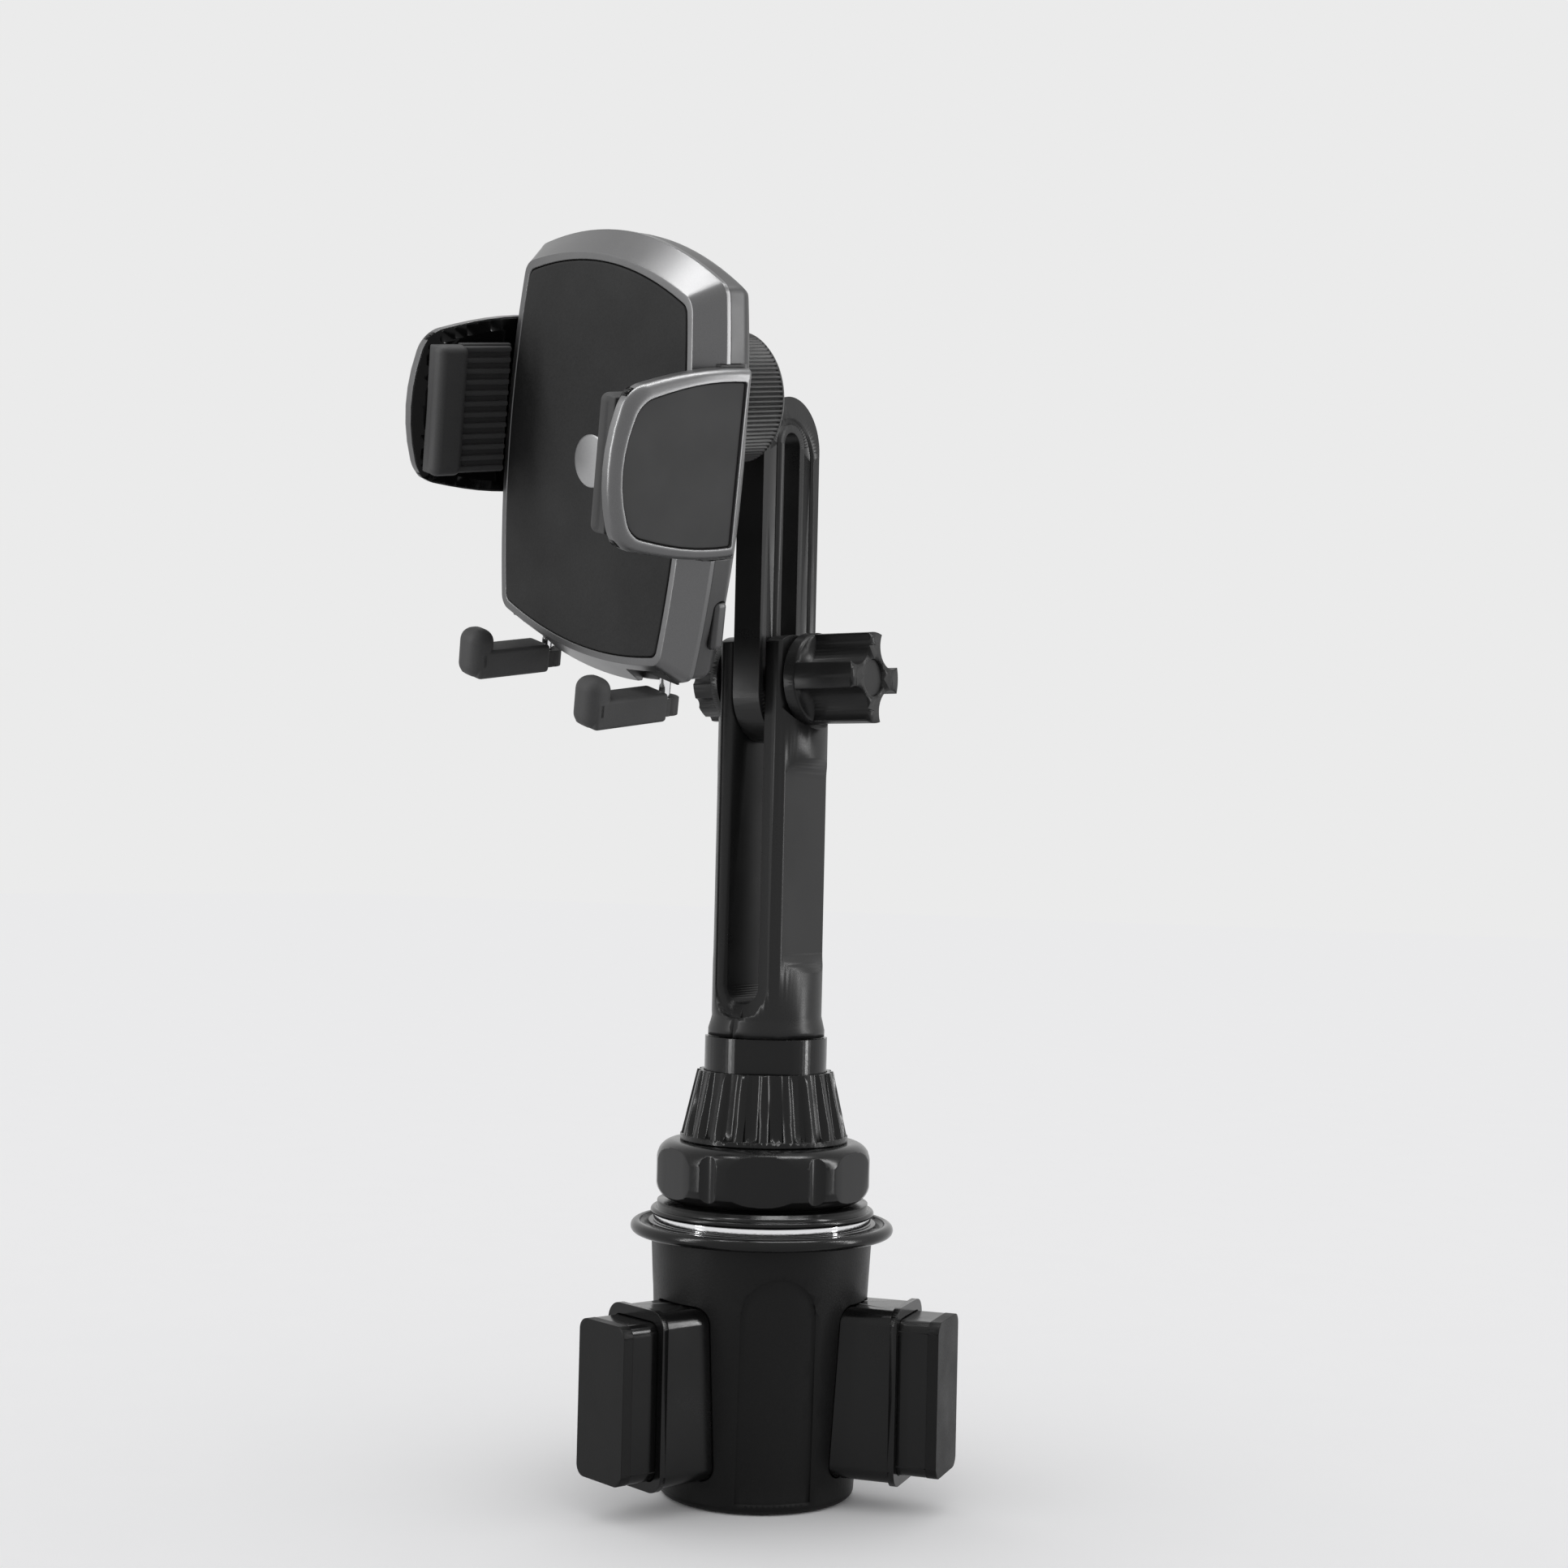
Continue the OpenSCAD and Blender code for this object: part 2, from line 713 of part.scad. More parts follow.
module arm_frame(s) {
    color("#9a9a9e") to_side(s) difference() {
        hull() {
            across(43.4, 44.2) arm_outline(0);
            across(arm_out - 0.1, arm_out) arm_outline(1.6);
        }
        across(42, 50) arm_outline(5);
    }
}

module arm_insert(s) {
    color("#404044") to_side(s) across(43.4, arm_out - 0.6) arm_outline(5.2);
}

// Rubber grip: a rounded hook lip at the front and a bed of level ribs behind it
module grip_pad(s) {
    low = gear_z + 0.4 - 17.6;
    color("#4a4a4e") to_side(s) {
        translate([38.2, -7, gear_z + 0.4]) cube([2.4, 13, 35.2], center = true);
        for (i = [0:11]) translate([36.6, -13.6, low + 0.5 + i * 2.95]) cube([1.6, 12.4, 1.5]);
        translate([0, 0, low]) linear_extrude(35.2) {
            translate([34.4, -24]) square([5, 9]);
            translate([35.6, -15.2]) circle(2.2);
            translate([35.6, -23.4]) circle(2.2);
            translate([33.4, -23.4]) square([4, 8.2]);
        }
    }
}

module pinion() {
    n = gear_teeth();
    color("#b08d57") head() translate([0, rack_y + rack_t, gear_z]) rotate([90, 0, 0])
        linear_extrude(rack_t) difference() {
            union() {
                circle(5);
                for (i = [0:n - 1]) rotate(90 + i * 360 / n)
                    polygon([[4.8, -0.8], [6.5, -0.34], [6.5, 0.34], [4.8, 0.8]]);
            }
            circle(2.06);
        }
}

// Flat spiral spring made of half turns, hooked on the pinion's post
module pinion_spring() {
    step = 0.7;
    color("#c9c9ce") head() translate([0, 16.4, gear_z]) rotate([90, 0, 0]) linear_extrude(1.2)
        for (i = [0:5]) translate([i % 2 == 0 ? 0 : step / 2, 0]) rotate(i % 2 == 0 ? 0 : 180)
            intersection() {
                difference() {
                    circle(2.6 + i * step / 2 + 0.15);
                    circle(2.6 + i * step / 2 - 0.15);
                }
                translate([-20, 0]) square([40, 20]);
            }
}

// ---------- release button ----------

module release_button() {
    color("#86868a") head() {
        translate([37, 14, -36]) rotate([90, 0, 90]) linear_extrude(4.8) round_rect(4, 12.8, 1.95);
        translate([35.4, 14, -36]) rotate([90, 0, 90]) linear_extrude(1.65) round_rect(5.2, 15, 2);
    }
}

module lock_pawl() {
    color("#55555a") head() {
        translate([14, 12, -36.4]) cube([21.4, 2.6, 2.8]);
        translate([14, 12, -33.7]) cube([4, 2.6, 27.1]);
    }
}

// Bent leaf that pushes the button back out
module button_spring() {
    color("#c9c9ce") head() {
        translate([10, 12, -38]) cube([0.4, 2.6, 30]);
        translate([10, 12, -38]) cube([3.9, 2.6, 0.4]);
    }
}

// ---------- feet ----------

module foot_pin(s) {
    color("white") head() translate([s * foot_x, pin_y, foot_top - 4.4]) cylinder(h = 21.4, r = pin_r);
}

module foot_core(s) {
    color("#2a2a2d") head() translate([s * foot_x, 0, foot_top - 5.2]) difference() {
        union() {
            translate([-3.2, -14, 0]) cube([6.4, pin_y + 14, 4.6]);
            translate([0, pin_y + 1.2, 0]) cylinder(h = 4.6, r = 3.2);
        }
        translate([0, pin_y, 0.75]) cylinder(h = 10, r = pin_r + 0.05);
    }
}

module foot_sleeve(s) {
    color("#4a4a4e") head() translate([s * foot_x, 0, foot_top - 7.2]) difference() {
        union() {
            translate([0, 8.4, 0]) rotate([90, 0, 0]) linear_extrude(20) translate([0, 4.5])
                round_rect(9.4, 7, 1.6);
            translate([0, -13.8, 1]) linear_extrude(9.6) round_rect(9.4, 8, 3);
            translate([0, -13.8, 10.6]) rotate([0, 90, 0]) cylinder(h = 9.4, r = 4, center = true);
        }
        translate([-3.25, -14.1, 1.95]) cube([6.5, 40, 4.7]);
    }
}

// ---------- assembly ----------

base_cup();
bottom_cover();
cover_screws();
core_post();
base_flange();
chrome_ring();
top_plate();
twist_collar();
cam_disc();
for (i = [1:3]) {
    wing_sleeve(i);
    wing_slider(i);
    wing_pad(i);
}
cone_nut();
collet();
neck_tube();
lower_pole_left();
lower_pole_right();
pole_screws();
clamp_bolt();
scalloped_nut();
knob();
knob_cap();
friction_washers();
slot_bush();
upper_arm();
ball_stud();
seat_inner();
seat_outer();
ball_nut();
rear_housing();
front_shell();
face_pad();
badge();
housing_screws();
pinion();
pinion_spring();
release_button();
lock_pawl();
button_spring();
for (s = [-1, 1]) {
    side = s > 0 ? "right" : "left";
    arm_plate(s);
    arm_frame(s);
    arm_insert(s);
    grip_pad(s);
    foot_pin(s);
    foot_core(s);
    foot_sleeve(s);
}
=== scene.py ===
# %% [markdown]
# # A cup-holder phone mount
# The mount stands in a car's cup holder. Three wings spread inside the holder, a slotted pole
# rises from a cone nut, and a ball joint carries the phone cradle with its two gripping arms.
# The exact parts come in as a fixed frame, so every piece below starts from a measured place.

# %% Load the frame
import json
import math

import bmesh
import bpy
from mathutils import Matrix, Vector


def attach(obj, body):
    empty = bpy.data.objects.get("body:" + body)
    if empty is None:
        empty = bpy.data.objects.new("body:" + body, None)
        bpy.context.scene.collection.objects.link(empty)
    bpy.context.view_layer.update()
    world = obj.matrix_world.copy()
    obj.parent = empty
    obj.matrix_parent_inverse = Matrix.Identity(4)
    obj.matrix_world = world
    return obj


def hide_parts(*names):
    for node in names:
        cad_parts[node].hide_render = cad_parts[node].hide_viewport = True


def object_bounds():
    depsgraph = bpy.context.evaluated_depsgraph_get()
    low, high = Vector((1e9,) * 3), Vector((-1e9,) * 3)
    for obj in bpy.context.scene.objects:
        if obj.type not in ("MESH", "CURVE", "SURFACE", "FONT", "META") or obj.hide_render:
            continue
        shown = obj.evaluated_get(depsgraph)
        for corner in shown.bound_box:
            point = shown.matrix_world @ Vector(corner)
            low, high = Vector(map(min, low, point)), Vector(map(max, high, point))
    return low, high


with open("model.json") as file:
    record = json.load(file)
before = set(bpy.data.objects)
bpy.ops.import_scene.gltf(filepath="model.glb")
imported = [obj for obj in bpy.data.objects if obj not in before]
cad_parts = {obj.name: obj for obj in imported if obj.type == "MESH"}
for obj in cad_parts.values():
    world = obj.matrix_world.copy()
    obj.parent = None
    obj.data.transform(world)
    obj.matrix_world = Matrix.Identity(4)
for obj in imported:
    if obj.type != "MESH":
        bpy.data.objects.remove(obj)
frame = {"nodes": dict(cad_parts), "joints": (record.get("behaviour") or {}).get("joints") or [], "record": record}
cad_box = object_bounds()
mm = 0.001
scene = bpy.context.scene
joints = {joint["name"]: joint for joint in frame["joints"]}

# %% [markdown]
# ## The cradle's own axes
# The cradle leans and turns on its ball, so its pieces are drawn upright in their own space:
# x to the right, y into the body and z up. The joints know those three directions: an arm
# slides along x, the ball spins about y and a foot drops against z.

# %% Cradle space
ball_centre = Vector(joints["ball_spin"]["pos_m"])
cradle_x = Vector(joints["arm_right_slide"]["axis"])
cradle_y = Vector(joints["ball_spin"]["axis"])
cradle_z = -Vector(joints["foot_left_drop"]["axis"])
ball_back = 42 * mm
ball_up = 16 * mm
cradle = Matrix((cradle_x, cradle_y, cradle_z)).transposed().to_4x4()
cradle.translation = ball_centre - cradle_y * ball_back - cradle_z * ball_up


def measured(part, space=cradle):
    """The lowest and highest corner of a CAD part in a space of its own."""
    back = space.inverted()
    points = [back @ vertex.co for vertex in frame["nodes"][part].data.vertices]
    low = Vector([min(point[axis] for point in points) for axis in range(3)])
    high = Vector([max(point[axis] for point in points) for axis in range(3)])
    return low, high


pad_low, pad_high = measured("face_pad")
print("face pad:", [round(size / mm, 1) for size in pad_high - pad_low])

# %% [markdown]
# ## Surfaces
# Moulded plastic is never one even colour. A spark-eroded mould leaves a fine grain, handling
# polishes the edges, and the gloss drifts a little over a large face. One recipe makes all the
# finishes here: a fine noise for the grain, a broad one for the drift, and a Bevel node that
# finds the edges, rounds the light on them and paints them paler, for wear and as a painted
# highlight along each edge.

# %% The recipe for a surface
def link(material, source, target):
    material.node_tree.links.new(source, target)


def add_node(material, kind, **values):
    node = material.node_tree.nodes.new("ShaderNode" + kind)
    for name, value in values.items():
        setattr(node, name, value)
    return node


def ramp_range(material, source, low, high, to_low, to_high):
    node = add_node(material, "MapRange", clamp=True)
    link(material, source, node.inputs["Value"])
    node.inputs["From Min"].default_value = low
    node.inputs["From Max"].default_value = high
    node.inputs["To Min"].default_value = to_low
    node.inputs["To Max"].default_value = to_high
    return node.outputs["Result"]


def colour_mix(material, factor, first, second):
    node = add_node(material, "Mix", data_type="RGBA")
    link(material, factor, node.inputs["Factor"])
    for socket, value in ((node.inputs["A"], first), (node.inputs["B"], second)):
        if isinstance(value, tuple):
            socket.default_value = value
        else:
            link(material, value, socket)
    return node.outputs["Result"]


def grey(level):
    return (level, level, level * 1.01, 1.0)


def surface(name, shade, rough, metal=0.0, gloss=0.5, coat=0.0, grain=0.5, depth=0.02,
            drift=0.08, mottle=0.12, edge_wear_and_highlight=1.5, edge=0.35, stretch=(1, 1, 1)):
    """One finish: a base shade, its roughness, its grain in mm and how far its edges are painted paler, for wear
    and as a painted highlight.
    """
    material = bpy.data.materials.new(name)
    material.use_nodes = True
    shader = material.node_tree.nodes["Principled BSDF"]
    place = add_node(material, "TexCoord").outputs["Object"]
    turn = add_node(material, "Mapping")
    turn.inputs["Scale"].default_value = stretch
    link(material, place, turn.inputs["Vector"])

    fine = add_node(material, "TexNoise")
    fine.inputs["Scale"].default_value = 1 / (grain * mm)
    fine.inputs["Detail"].default_value = 3
    fine.inputs["Roughness"].default_value = 0.6
    link(material, turn.outputs["Vector"], fine.inputs["Vector"])
    broad = add_node(material, "TexNoise")
    broad.inputs["Scale"].default_value = 55
    broad.inputs["Detail"].default_value = 4
    link(material, place, broad.inputs["Vector"])

    rounded = add_node(material, "Bevel", samples=4)
    rounded.inputs["Radius"].default_value = edge * mm
    flat = add_node(material, "NewGeometry")
    bend = add_node(material, "VectorMath", operation="DOT_PRODUCT")
    link(material, rounded.outputs["Normal"], bend.inputs[0])
    link(material, flat.outputs["Normal"], bend.inputs[1])
    # Edges are painted paler here: partly wear, partly a painted highlight along each edge.
    at_edge = ramp_range(material, bend.outputs["Value"], 0.80, 0.99, 1.0, 0.0)
    patchy = ramp_range(material, broad.outputs["Fac"], 0.35, 0.65, 0.35, 1.0)
    worn_and_highlit = add_node(material, "Math", operation="MULTIPLY")
    link(material, at_edge, worn_and_highlit.inputs[0])
    link(material, patchy, worn_and_highlit.inputs[1])

    spread = ramp_range(material, fine.outputs["Fac"], 0.3, 0.7, 0.0, 1.0)
    body = colour_mix(material, spread, grey(shade * (1 - mottle)), grey(shade * (1 + mottle)))
    painted = colour_mix(material, worn_and_highlit.outputs["Value"], body, grey(min(shade * edge_wear_and_highlight, 0.9)))
    link(material, painted, shader.inputs["Base Color"])

    even = ramp_range(material, broad.outputs["Fac"], 0.3, 0.7, rough - drift, rough + drift)
    speckle = ramp_range(material, fine.outputs["Fac"], 0.3, 0.7, -drift / 2, drift / 2)
    total = add_node(material, "Math", operation="ADD", use_clamp=True)
    link(material, even, total.inputs[0])
    link(material, speckle, total.inputs[1])
    link(material, total.outputs["Value"], shader.inputs["Roughness"])

    relief = add_node(material, "Bump")
    relief.inputs["Strength"].default_value = 0.6
    relief.inputs["Distance"].default_value = depth * mm
    link(material, fine.outputs["Fac"], relief.inputs["Height"])
    link(material, rounded.outputs["Normal"], relief.inputs["Normal"])
    link(material, relief.outputs["Normal"], shader.inputs["Normal"])

    shader.inputs["Metallic"].default_value = metal
    shader.inputs["Specular IOR Level"].default_value = gloss
    shader.inputs["Coat Weight"].default_value = coat
    shader.inputs["Coat Roughness"].default_value = 0.12
    return material


# %% [markdown]
# ## The sixteen finishes
# The base is dull black with a coarse spark grain; the collar, cone and wings are glossier and
# catch a line of light on each edge, helped by a painted highlight there. The cradle is painted
# metallic grey round a charcoal pad.
# Rubber is matt and slightly dusty. Steel, brass and chrome are true metals.

# %% Finishes
# How much each finish's edges are lightened stands for wear and also for a painted highlight.
finishes = {
    "cup_plastic": surface("cup_plastic", 0.005, 0.42, gloss=0.15, grain=0.55, depth=0.07,
                           edge_wear_and_highlight=1.8),
    "dark_gloss": surface("dark_gloss", 0.004, 0.20, gloss=0.24, grain=0.4, depth=0.008,
                          edge_wear_and_highlight=3.0, edge=0.22),
    "satin_plastic": surface("satin_plastic", 0.009, 0.36, gloss=0.24, grain=0.4, depth=0.016,
                             edge_wear_and_highlight=1.8, edge=0.25),
    "inner_plastic": surface("inner_plastic", 0.02, 0.55, gloss=0.3, grain=0.6, depth=0.03),
    "chrome": surface("chrome", 0.85, 0.08, metal=1.0, drift=0.04, mottle=0.02, edge_wear_and_highlight=1.0),
    "steel": surface("steel", 0.42, 0.28, metal=1.0, mottle=0.1, edge_wear_and_highlight=1.3,
                     stretch=(1, 1, 0.1)),
    "brass": surface("brass", 0.40, 0.32, metal=1.0, mottle=0.1),
    "rubber_pad": surface("rubber_pad", 0.005, 0.46, gloss=0.14, grain=0.5, depth=0.03),
    "grip_rubber": surface("grip_rubber", 0.036, 0.62, gloss=0.2, grain=0.35, depth=0.03,
                           edge_wear_and_highlight=1.25),
    "face_rubber": surface("face_rubber", 0.014, 0.66, gloss=0.14, grain=0.7, depth=0.06,
                           mottle=0.2, edge_wear_and_highlight=1.2),
    "shell_silver": surface("shell_silver", 0.13, 0.32, metal=0.85, grain=0.16, depth=0.004,
                            edge_wear_and_highlight=1.5, drift=0.03, edge=0.2),
    "rear_grey": surface("rear_grey", 0.05, 0.38, metal=0.65, grain=0.2, depth=0.006,
                         edge_wear_and_highlight=2.0),
    "arm_black": surface("arm_black", 0.002, 0.14, gloss=0.12, grain=0.6, depth=0.004,
                         drift=0.04, edge_wear_and_highlight=6.0),
    "insert_grey": surface("insert_grey", 0.028, 0.60, gloss=0.2, grain=0.25, depth=0.012,
                           mottle=0.05, edge_wear_and_highlight=1.2),
    "badge_silver": surface("badge_silver", 0.30, 0.36, metal=0.9, grain=0.25, depth=0.002,
                            mottle=0.05, drift=0.03),
    "seat_nylon": surface("seat_nylon", 0.55, 0.45, grain=0.5, depth=0.01),
}
brass_shader = finishes["brass"].node_tree.nodes["Principled BSDF"]
brass_shader.inputs["Specular Tint"].default_value = (1.0, 0.72, 0.36, 1.0)
print("finishes:", len(finishes))

# %% [markdown]
# ## Exact parts, finely shaded
# Turned and cut parts keep the frame's exact shape. A loose triangle mesh shades as flat
# facets, so each part is copied and its doubled vertices are merged. Edges sharper than a
# limit stay crisp, and a weighted normal keeps the large faces flat.

# %% Helpers that put a piece on its body
sharp_angle = math.radians(32)
body_of = {part: body for body, parts in frame["record"]["behaviour"]["bodies"].items()
           for part in parts}


def finished(name, shape, finish, *parts, body=None, place=None, angle=sharp_angle):
    """Turns a bmesh into a piece that rides with its body and stands for its CAD parts."""
    bmesh.ops.recalc_face_normals(shape, faces=shape.faces)
    mesh = bpy.data.meshes.new(name)
    shape.to_mesh(mesh)
    shape.free()
    return seated(name, mesh, finish, parts, body, place, angle)


def seated(name, mesh, finish, parts, body, place, angle):
    if place is not None:
        mesh.transform(place)
    mesh.materials.clear()
    mesh.materials.append(finishes[finish])
    for polygon in mesh.polygons:
        polygon.use_smooth = True
    mesh.set_sharp_from_angle(angle=angle)
    piece = bpy.data.objects.new(name, mesh)
    scene.collection.objects.link(piece)
    level = piece.modifiers.new("even shading", "WEIGHTED_NORMAL")
    level.keep_sharp = True
    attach(piece, body or body_of[parts[0]])
    if parts:
        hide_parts(*parts)
    return piece


def copied(part):
    """A CAD part as a clean bmesh, with doubled vertices and empty edges merged away."""
    shape = bmesh.new()
    shape.from_mesh(frame["nodes"][part].data)
    bmesh.ops.remove_doubles(shape, verts=shape.verts, dist=0.002 * mm)
    bmesh.ops.dissolve_degenerate(shape, edges=shape.edges, dist=0.001 * mm)
    return shape


# %% The exact parts and their finishes
exact = {
    "cup_plastic": ["base_cup", "bottom_cover"],
    "dark_gloss": ["top_plate", "base_flange", "twist_collar", "cone_nut", "neck_tube",
                   "wing_sleeve_1", "wing_sleeve_2", "wing_sleeve_3", "wing_slider_1",
                   "wing_slider_2", "wing_slider_3"],
    "satin_plastic": ["lower_pole_left", "lower_pole_right", "knob", "knob_cap",
                      "scalloped_nut", "upper_arm"],
    "inner_plastic": ["core_post", "cam_disc", "collet", "slot_bush", "lock_pawl"],
    "chrome": ["chrome_ring", "foot_pin_left", "foot_pin_right"],
    "steel": ["cover_screws", "pole_screws", "clamp_bolt", "ball_stud", "pinion_spring",
              "button_spring", "housing_screws"],
    "brass": ["pinion"],
    "rubber_pad": ["wing_pad_1", "wing_pad_2", "wing_pad_3", "friction_washers"],
    "grip_rubber": ["foot_core_left", "foot_core_right"],
    "seat_nylon": ["seat_inner", "seat_outer"],
}
for finish, parts in exact.items():
    for part in parts:
        finished(part + "_skin", copied(part), finish, part)
print("exact parts:", sum(len(parts) for parts in exact.values()))

# %% [markdown]
# ## Outlines with bowed sides
# The cradle's face is a rectangle whose four sides bow outwards, with small round corners. It
# could be drawn as a curve, but a ring of vertices can be bridged to the next ring, and a
# stack of rings gives full control of the bevel's section. Corners are rounded by a bevel of
# the four corner vertices.

# %% Rings and stacks
side_steps = 22


def bowed(t):
    return 1 - t * t


def bowed_ring(half_w, half_h, side_bow, top, bottom, corner):
    """Points of a bowed rectangle in x and z, with its corners rounded."""
    x = half_w - side_bow
    z = half_h - top
    spans = [2 * step / side_steps - 1 for step in range(side_steps)]
    points = [(-x * t, z + top * bowed(t)) for t in spans]
    points += [(-x - side_bow * bowed(t), -z * t) for t in spans]
    points += [(x * t, -z - bottom * bowed(t)) for t in spans]
    points += [(x + side_bow * bowed(t), z * t) for t in spans]
    return rounded_points(points, [side_steps * side for side in range(4)], corner)


def rounded_points(points, corners, radius, segments=5):
    """Bevels some of an outline's vertices and returns the new points in order."""
    flat = bmesh.new()
    verts = [flat.verts.new((x, 0, z)) for x, z in points]
    flat.faces.new(verts)
    bmesh.ops.bevel(flat, geom=[verts[corner] for corner in corners], offset=radius,
                    offset_type="OFFSET", segments=segments, profile=0.5,
                    affect="VERTICES", material=-1, clamp_overlap=False)
    flat.faces.ensure_lookup_table()
    found = [(loop.vert.co.x, loop.vert.co.z) for loop in flat.faces[0].loops]
    flat.free()
    return found


def ring_at(shape, points, depth):
    """A closed ring of edges at one depth."""
    verts = [shape.verts.new((x, depth, z)) for x, z in points]
    pairs = zip(verts, verts[1:] + verts[:1])
    return [shape.edges.new(pair) for pair in pairs]


def stacked(shape, rings, close_first=False, close_last=False):
    """Bridges rings in order into one skin and closes its ends when asked."""
    for first, second in zip(rings, rings[1:]):
        bmesh.ops.bridge_loops(shape, edges=first + second)
    if close_first:
        bmesh.ops.edgeloop_fill(shape, edges=rings[0])
    if close_last:
        bmesh.ops.edgeloop_fill(shape, edges=rings[-1])


def softened(shape, width, segments=3, angle=math.radians(35)):
    """Rounds every edge that is sharper than the angle."""
    edges = [edge for edge in shape.edges
             if edge.is_manifold and edge.calc_face_angle() > angle]
    bmesh.ops.bevel(shape, geom=edges, offset=width, offset_type="OFFSET", segments=segments,
                    profile=0.5, affect="EDGES", material=-1, clamp_overlap=True)


def block(low, high):
    """A box between two corners, as a bmesh."""
    shape = bmesh.new()
    bmesh.ops.create_cube(shape, size=1)
    low, high = Vector(low), Vector(high)
    size = high - low
    bmesh.ops.scale(shape, vec=size, verts=shape.verts)
    bmesh.ops.translate(shape, vec=(low + high) / 2, verts=shape.verts)
    return shape


def cut_away(shape, cutters):
    """Takes the cutters out of a closed shape with an exact boolean."""
    body_mesh = bpy.data.meshes.new("being_cut")
    bmesh.ops.recalc_face_normals(shape, faces=shape.faces)
    shape.to_mesh(body_mesh)
    shape.free()
    held = bpy.data.objects.new("being_cut", body_mesh)
    scene.collection.objects.link(held)
    tools = []
    for cutter in cutters:
        tool_mesh = bpy.data.meshes.new("cutter")
        bmesh.ops.recalc_face_normals(cutter, faces=cutter.faces)
        cutter.to_mesh(tool_mesh)
        cutter.free()
        tool = bpy.data.objects.new("cutter", tool_mesh)
        scene.collection.objects.link(tool)
        step = held.modifiers.new("cut", "BOOLEAN")
        step.operation = "DIFFERENCE"
        step.solver = "EXACT"
        step.object = tool
        tools.append(tool)
    graph = bpy.context.evaluated_depsgraph_get()
    result = bmesh.new()
    result.from_object(held, graph)
    for thing in tools + [held]:
        bpy.data.objects.remove(thing)
    return result


def spun(profile, steps=96):
    """Turns a profile of (radius, y) points round the y axis into a closed skin."""
    shape = bmesh.new()
    verts = [shape.verts.new((radius, y, 0)) for radius, y in profile]
    edges = [shape.edges.new(pair) for pair in zip(verts, verts[1:])]
    bmesh.ops.spin(shape, geom=verts + edges, cent=(0, 0, 0), axis=(0, 1, 0),
                   angle=math.tau, steps=steps, use_merge=True)
    bmesh.ops.remove_doubles(shape, verts=shape.verts, dist=0.005 * mm)
    return shape


# %% [markdown]
# ## Face pad
# A sheet of fine-grained rubber lies in the cradle's front with a hairline gap round it. Its
# rim turns down softly, so the outline shows as a thin dark seam. Four rings make it.

# %% Face pad
face_bow = 3.7 * mm
face_top = 6.6 * mm
face_bottom = 4.8 * mm
pad_half_w = pad_high.x
pad_half_h = pad_high.z
pad_corner = 1.5 * mm
pad_thick = pad_high.y - pad_low.y


def face_ring(grow):
    return bowed_ring(pad_half_w + grow, pad_half_h + grow, face_bow, face_top, face_bottom,
                      pad_corner + max(grow, 0) / 2)


shape = bmesh.new()
rings = [ring_at(shape, face_ring(-0.1 * mm), pad_thick),
         ring_at(shape, face_ring(-0.1 * mm), 0.40 * mm),
         ring_at(shape, face_ring(-0.25 * mm), 0.14 * mm),
         ring_at(shape, face_ring(-0.7 * mm), 0.0)]
stacked(shape, rings, close_first=True, close_last=True)
finished("face_pad_skin", shape, "face_rubber", "face_pad", place=cradle)

# %% [markdown]
# ## Badge
# A plain disc fills the small recess in the middle of the pad. Its flat face has a small
# chamfer that catches the light. It is spun from one profile.

# %% Badge
badge_low, badge_high = measured("badge")
badge_r = badge_high.x
badge_front = badge_low.y - 0.35 * mm
profile = [(0, badge_front), (badge_r * 0.93, badge_front), (badge_r, badge_front + 0.2 * mm),
           (badge_r, badge_high.y), (0, badge_high.y)]
finished("badge_skin", spun(profile), "badge_silver", "badge", place=cradle)

# %% [markdown]
# ## Front shell
# The painted frame round the pad is a thin flat lip, then one wide sloping bevel to a crisp
# outer edge and a short side wall. Both outlines bow differently, so the bevel is bridged
# between them instead of being inset from one. The rings in between give its soft crown.

# %% Front shell
shell_low, shell_high = measured("front_shell")
outer_bow = 4.8 * mm
outer_top = 8.6 * mm
outer_bottom = 6.4 * mm
outer_half_w = 38.75 * mm + outer_bow
outer_half_h = 51.15 * mm + outer_top
shell_back = shell_high.y
lip_front = shell_low.y
lip_width = 2.0 * mm
slope_back = 7.4 * mm


def outer_ring(grow, corner=2.5 * mm):
    return bowed_ring(outer_half_w + grow, outer_half_h + grow, outer_bow, outer_top,
                      outer_bottom, max(corner + grow, 0.6 * mm))


def between(first, second, share):
    """Points part of the way from one ring to another with the same count."""
    return [(a[0] + (b[0] - a[0]) * share, a[1] + (b[1] - a[1]) * share)
            for a, b in zip(first, second)]


lip_ring = face_ring(lip_width)
edge_ring = outer_ring(0)
shape = bmesh.new()
rings = [ring_at(shape, face_ring(1.0 * mm), shell_back - 0.06 * mm),
         ring_at(shape, face_ring(0.12 * mm), 1.7 * mm),
         ring_at(shape, face_ring(0.12 * mm), lip_front + 0.2 * mm),
         ring_at(shape, face_ring(0.30 * mm), lip_front),
         ring_at(shape, between(face_ring(0.3 * mm), lip_ring, 0.86), lip_front + 0.04 * mm),
         ring_at(shape, lip_ring, lip_front + 0.12 * mm)]
for share in (0.04, 0.3, 0.6, 0.96):
    depth = lip_front + 0.2 * mm + (slope_back - lip_front) * share
    rings.append(ring_at(shape, between(lip_ring, edge_ring, share), depth))
rings += [ring_at(shape, edge_ring, slope_back + 0.12 * mm),
          ring_at(shape, outer_ring(0.02 * mm), slope_back + 0.5 * mm),
          ring_at(shape, outer_ring(0), shell_back - 0.2 * mm),
          ring_at(shape, outer_ring(-0.2 * mm), shell_back)]
stacked(shape, rings)
bmesh.ops.bridge_loops(shape, edges=rings[-1] + rings[0])

